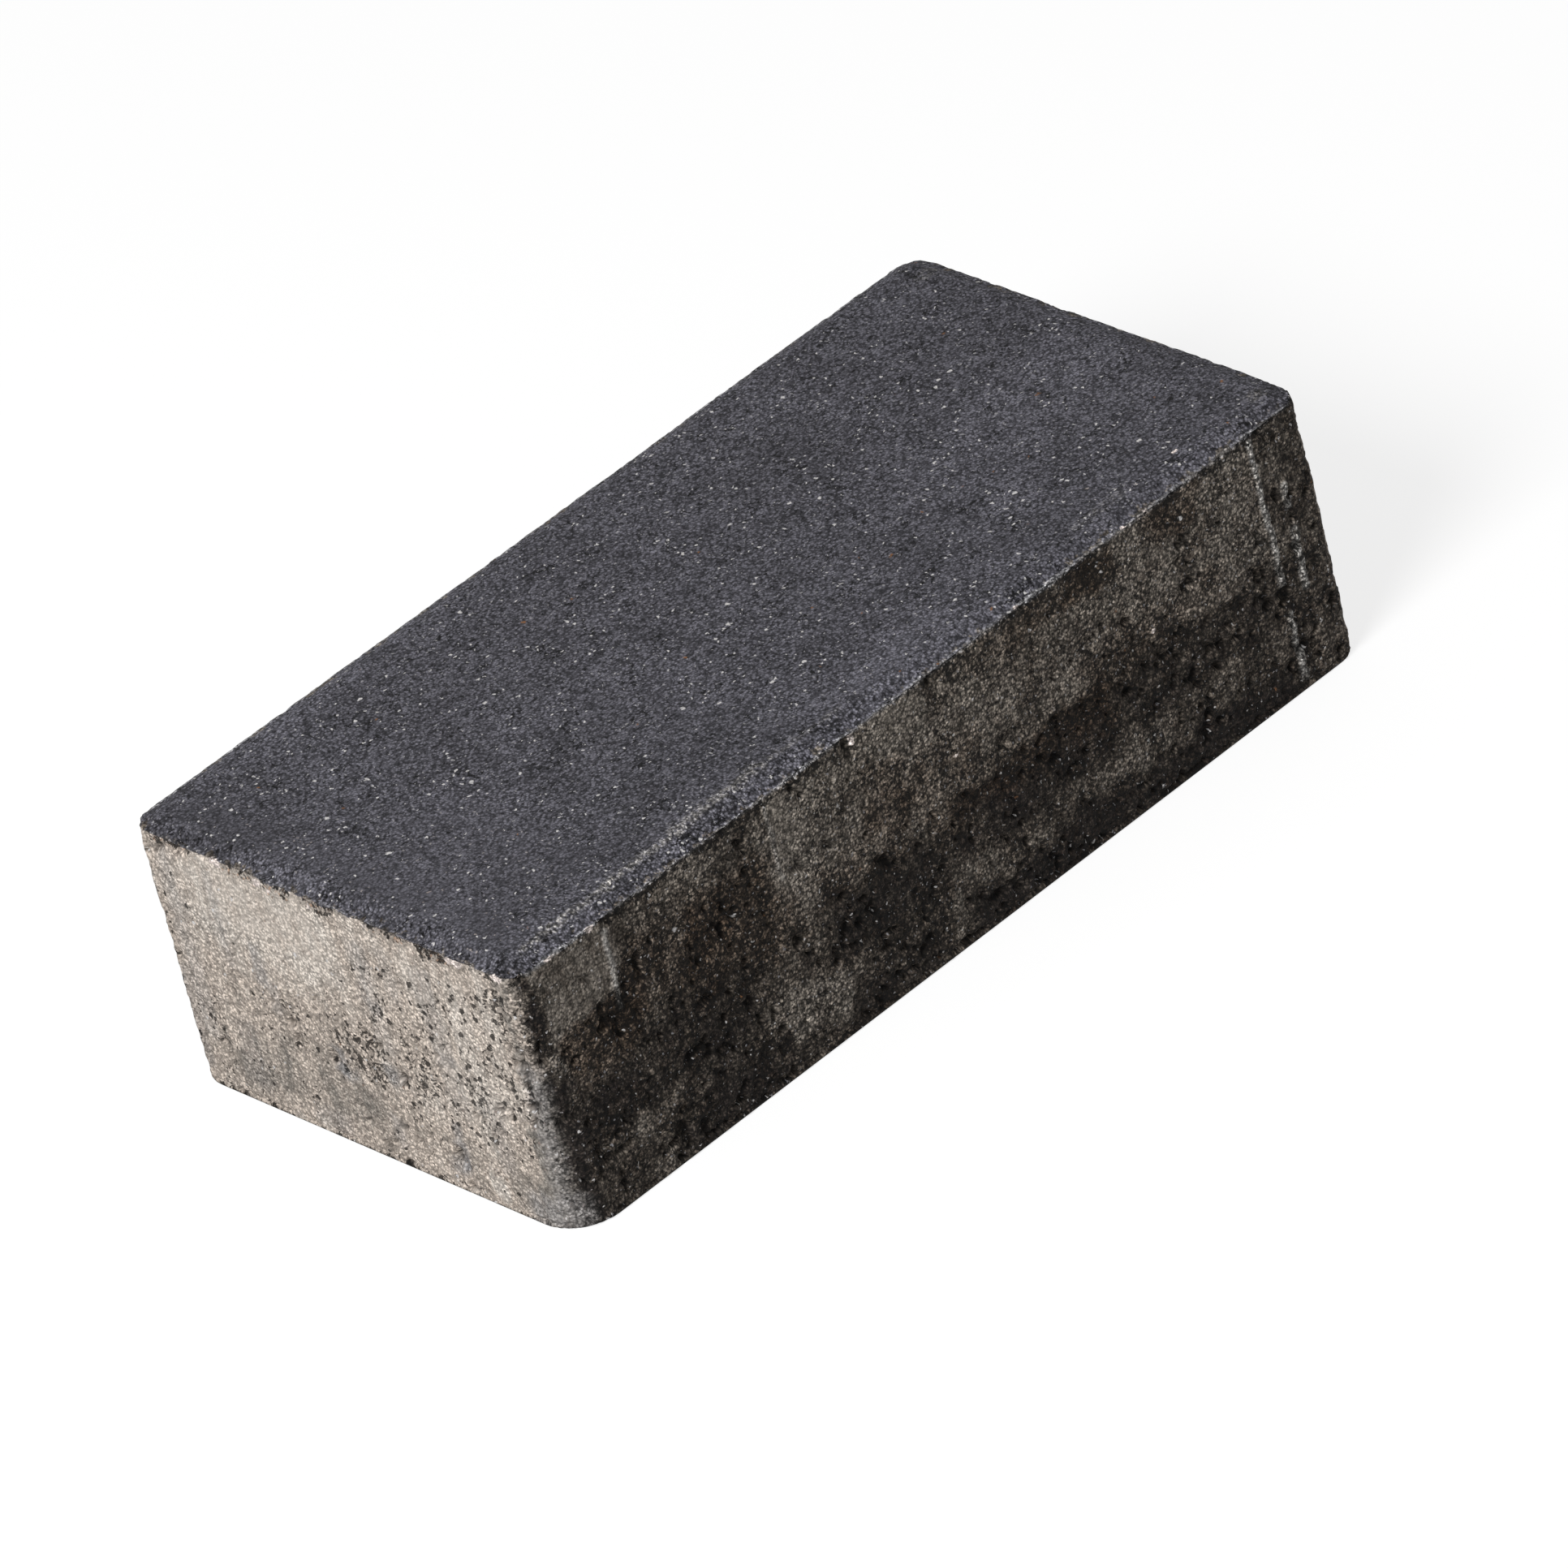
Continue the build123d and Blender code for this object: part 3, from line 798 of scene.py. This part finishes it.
@dataclass
class PavingStone:
    """The stone's body, modelled inside the box of its CAD node. Sizes in millimetres."""

    corner_radius: float = 5.5
    worn_foot_radius: float = 10.5
    land: float = 0.8
    bevel: float = 3.4
    rise: float = 1.5
    crest_rounding: float = 1.1
    arris: float = 0.8
    grid: float = 0.62
    triangle_budget: int = 194_000
    relief: Relief = field(default_factory=Relief)
    finish: PressedConcrete = field(default_factory=PressedConcrete)

    def choose(self, low: Vector, high: Vector, whole: bool = True) -> None:
        """Selects, in edit mode, what lies inside a box.

        Args:
            low: The box's lowest corner in metres.
            high: Its highest corner.
            whole: True to select only edges and faces whose every corner is inside.
        """
        bpy.ops.object.mode_set(mode="OBJECT")
        mesh = bpy.context.object.data
        for part in (*mesh.polygons, *mesh.edges, *mesh.vertices):
            part.select = False
        for vertex in mesh.vertices:
            vertex.select = all(low[i] <= vertex.co[i] <= high[i] for i in range(3))
        if whole:
            for part in (*mesh.edges, *mesh.polygons):
                part.select = all(mesh.vertices[i].select for i in part.vertices)
        bpy.ops.object.mode_set(mode="EDIT")

    def body(self) -> bpy.types.Object:
        """Models the moulded form from a cube.

        Returns:
            The smooth form, before its relief.
        """
        low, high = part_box(NODE_NAME)
        low, high = Vector(low), Vector(high)
        shoulder = high.z - self.rise * MM
        size = Vector((high.x - low.x, high.y - low.y, shoulder - low.z))
        bpy.ops.object.select_all(action="DESELECT")
        bpy.ops.mesh.primitive_cube_add(size=1.0, location=(low + Vector((high.x, high.y, shoulder))) / 2,
                                        scale=size)
        stone = bpy.context.object
        stone.name = "paving_stone_body"
        bpy.ops.object.transform_apply(location=True, rotation=True, scale=True)
        tiny = Vector((1e-5, 1e-5, 1e-5))
        bpy.ops.object.mode_set(mode="EDIT")
        bpy.ops.mesh.select_mode(type="EDGE")

        # Upright edges become the moulded corners
        bpy.ops.object.mode_set(mode="OBJECT")
        for part in (*stone.data.polygons, *stone.data.vertices):
            part.select = False
        for edge in stone.data.edges:
            a, b = (stone.data.vertices[i].co for i in edge.vertices)
            edge.select = abs(a.z - b.z) > size.z / 2
        bpy.ops.object.mode_set(mode="EDIT")
        bpy.ops.mesh.bevel(offset=self.corner_radius * MM, segments=8, affect="EDGES")

        # The front left corner is worn: its foot is spread from the sharp corner
        reach = (self.corner_radius + 0.01) * MM
        corner = Vector((low.x, low.y, low.z))
        bpy.ops.mesh.select_mode(type="VERT")
        self.choose(corner - tiny, corner + Vector((reach, reach, 1e-5)), whole=False)
        spread = self.worn_foot_radius / self.corner_radius
        bpy.ops.transform.resize(value=(spread, spread, 1.0), center_override=corner)

        # Land, bevel and soft crest round the wearing face
        bpy.ops.mesh.select_mode(type="FACE")
        self.choose(Vector((low.x, low.y, shoulder)) - tiny, Vector((high.x, high.y, shoulder)) + tiny)
        bpy.ops.mesh.inset(thickness=self.land * MM)
        bpy.ops.mesh.inset(thickness=self.bevel * MM, depth=self.rise * MM)
        bpy.ops.mesh.region_to_loop()
        bpy.ops.mesh.bevel(offset=self.crest_rounding * MM, segments=4, affect="EDGES")

        # Lower arris
        bpy.ops.mesh.select_mode(type="FACE")
        self.choose(low - tiny, Vector((high.x, high.y, low.z)) + tiny)
        bpy.ops.mesh.region_to_loop()
        bpy.ops.mesh.bevel(offset=self.arris * MM, segments=3, affect="EDGES")
        bpy.ops.object.mode_set(mode="OBJECT")
        return stone

    def roughen(self, stone: bpy.types.Object) -> None:
        """Gives the form an even fine grid, the relief, and no more triangles than it may have.

        Args:
            stone: The moulded form.
        """
        remesh = stone.modifiers.new("even_grid", "REMESH")
        remesh.mode = "VOXEL"
        remesh.voxel_size = self.grid * MM
        bpy.ops.object.modifier_apply(modifier=remesh.name)
        relief = stone.modifiers.new("relief", "NODES")
        relief.node_group = self.relief.build()
        bpy.ops.object.modifier_apply(modifier=relief.name)
        triangles = sum(len(face.vertices) - 2 for face in stone.data.polygons)
        LOG.info("relief on %d triangles", triangles)
        if triangles > self.triangle_budget:
            thin = stone.modifiers.new("thin", "DECIMATE")
            thin.ratio = self.triangle_budget / triangles
            bpy.ops.object.modifier_apply(modifier=thin.name)
        bpy.ops.object.shade_smooth()

    def build(self) -> bpy.types.Object:
        """Makes the finished stone and ties it to the frame.

        Returns:
            The piece that stands for the CAD node.
        """
        stone = self.body()
        self.roughen(stone)
        stone.data.materials.clear()
        stone.data.materials.append(self.finish.build())
        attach(stone, "root")
        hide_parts(NODE_NAME)
        LOG.info("%s: %d triangles", stone.name,
                 sum(len(face.vertices) - 2 for face in stone.data.polygons))
        return stone


@dataclass
class Studio:
    """Pale floor, soft light and the camera. Lengths in metres, angles in degrees."""

    floor_size: float = 12.0
    floor_colour: str = "#a0a0a0"
    floor_glow: float = 0.76
    fill: float = 0.29
    key_place: tuple[float, float, float] = (-1.5, -0.43, 1.35)
    key_size: float = 0.9
    key_watts: float = 31.5
    aim: tuple[float, float, float] = (-0.00087, -0.00679, 0.02084)
    azimuth: float = -36.73
    elevation: float = 33.06
    distance: float = 2.6422
    roll: float = -14.602
    lens: float = 326.1

    def seen(self, tree: bpy.types.NodeTree) -> bpy.types.Node:
        """Tells the rays that show the background from those that light the stone.

        Args:
            tree: The node tree of the floor or the world.

        Returns:
            A node whose first output is 1 for camera, glossy and transmission rays.
        """
        add = partial(add_node, tree)
        path = add("ShaderNodeLightPath")
        seen = add(MATH, MAXIMUM, {0: path.outputs["Is Camera Ray"], 1: path.outputs["Is Glossy Ray"]})
        return add(MATH, MAXIMUM, {0: seen, 1: path.outputs["Is Transmission Ray"]})

    def floor(self) -> None:
        """Lays the pale floor, which keeps the stone's shadow."""
        bpy.ops.object.select_all(action="DESELECT")
        bpy.ops.mesh.primitive_plane_add(size=self.floor_size, location=(0, 0, 0))
        floor = bpy.context.object
        floor.name = "studio_floor"
        material = bpy.data.materials.new("matt_white_paper")
        material.use_nodes = True
        tree = material.node_tree
        tree.nodes.clear()
        add = partial(add_node, tree)
        seen = self.seen(tree)
        lift = add(MATH, MULTIPLY, {0: seen, 1: self.floor_glow})
        paper = add("ShaderNodeBsdfDiffuse", {}, {"Color": linear(self.floor_colour)})
        glow = add("ShaderNodeEmission", {}, {"Strength": lift})
        both = add("ShaderNodeAddShader", {}, {0: paper, 1: glow})
        add("ShaderNodeOutputMaterial", {}, {0: both})
        floor.data.materials.append(material)

    def light(self) -> None:
        """Hangs a broad key light on the left and fills the rest from a white surround."""
        world = bpy.data.worlds.new("white_surround")
        world.use_nodes = True
        tree = world.node_tree
        tree.nodes.clear()
        add = partial(add_node, tree)
        seen = self.seen(tree)
        strength = add(RANGE, {}, {"Value": seen, "To Min": self.fill, "To Max": 1.0})
        sky = add("ShaderNodeBackground", {}, {"Color": (1, 1, 1, 1), "Strength": strength})
        add("ShaderNodeOutputWorld", {}, {0: sky})
        bpy.context.scene.world = world

        aim = Vector(self.aim)
        source = Vector(self.key_place)
        key_data = bpy.data.lights.new("key", "AREA")
        key_data.shape = "DISK"
        key_data.size = self.key_size
        key_data.energy = self.key_watts
        key = bpy.data.objects.new("key", key_data)
        key.location = source
        key.rotation_mode = "QUATERNION"
        key.rotation_quaternion = (aim - source).to_track_quat("-Z", "Y")
        bpy.context.collection.objects.link(key)

    def camera(self) -> None:
        """Sets the camera where the outline of the stone in the photograph puts it."""
        data = bpy.data.cameras.new("camera")
        data.lens = self.lens
        data.sensor_width = 36.0
        data.clip_end = 50.0
        camera = bpy.data.objects.new("camera", data)
        around, up = math.radians(self.azimuth), math.radians(self.elevation)
        back = Vector((math.sin(around) * math.cos(up), -math.cos(around) * math.cos(up),
                       math.sin(up)))
        camera.location = Vector(self.aim) + back * self.distance
        camera.rotation_mode = "QUATERNION"
        level = (-back).to_track_quat("-Z", "Y")
        camera.rotation_quaternion = level @ Quaternion((0, 0, 1), math.radians(self.roll))
        bpy.context.collection.objects.link(camera)
        bpy.context.scene.camera = camera

    def build(self) -> None:
        """Makes the floor, the light and the camera."""
        self.floor()
        self.light()
        self.camera()
        bpy.context.scene.view_settings.view_transform = "Standard"


def main() -> None:
    """Builds the stone and the studio round it."""
    logging.basicConfig(level=logging.INFO, format="%(name)s: %(message)s")
    PavingStone().build()
    Studio().build()


if __name__ == "__main__":
    main()
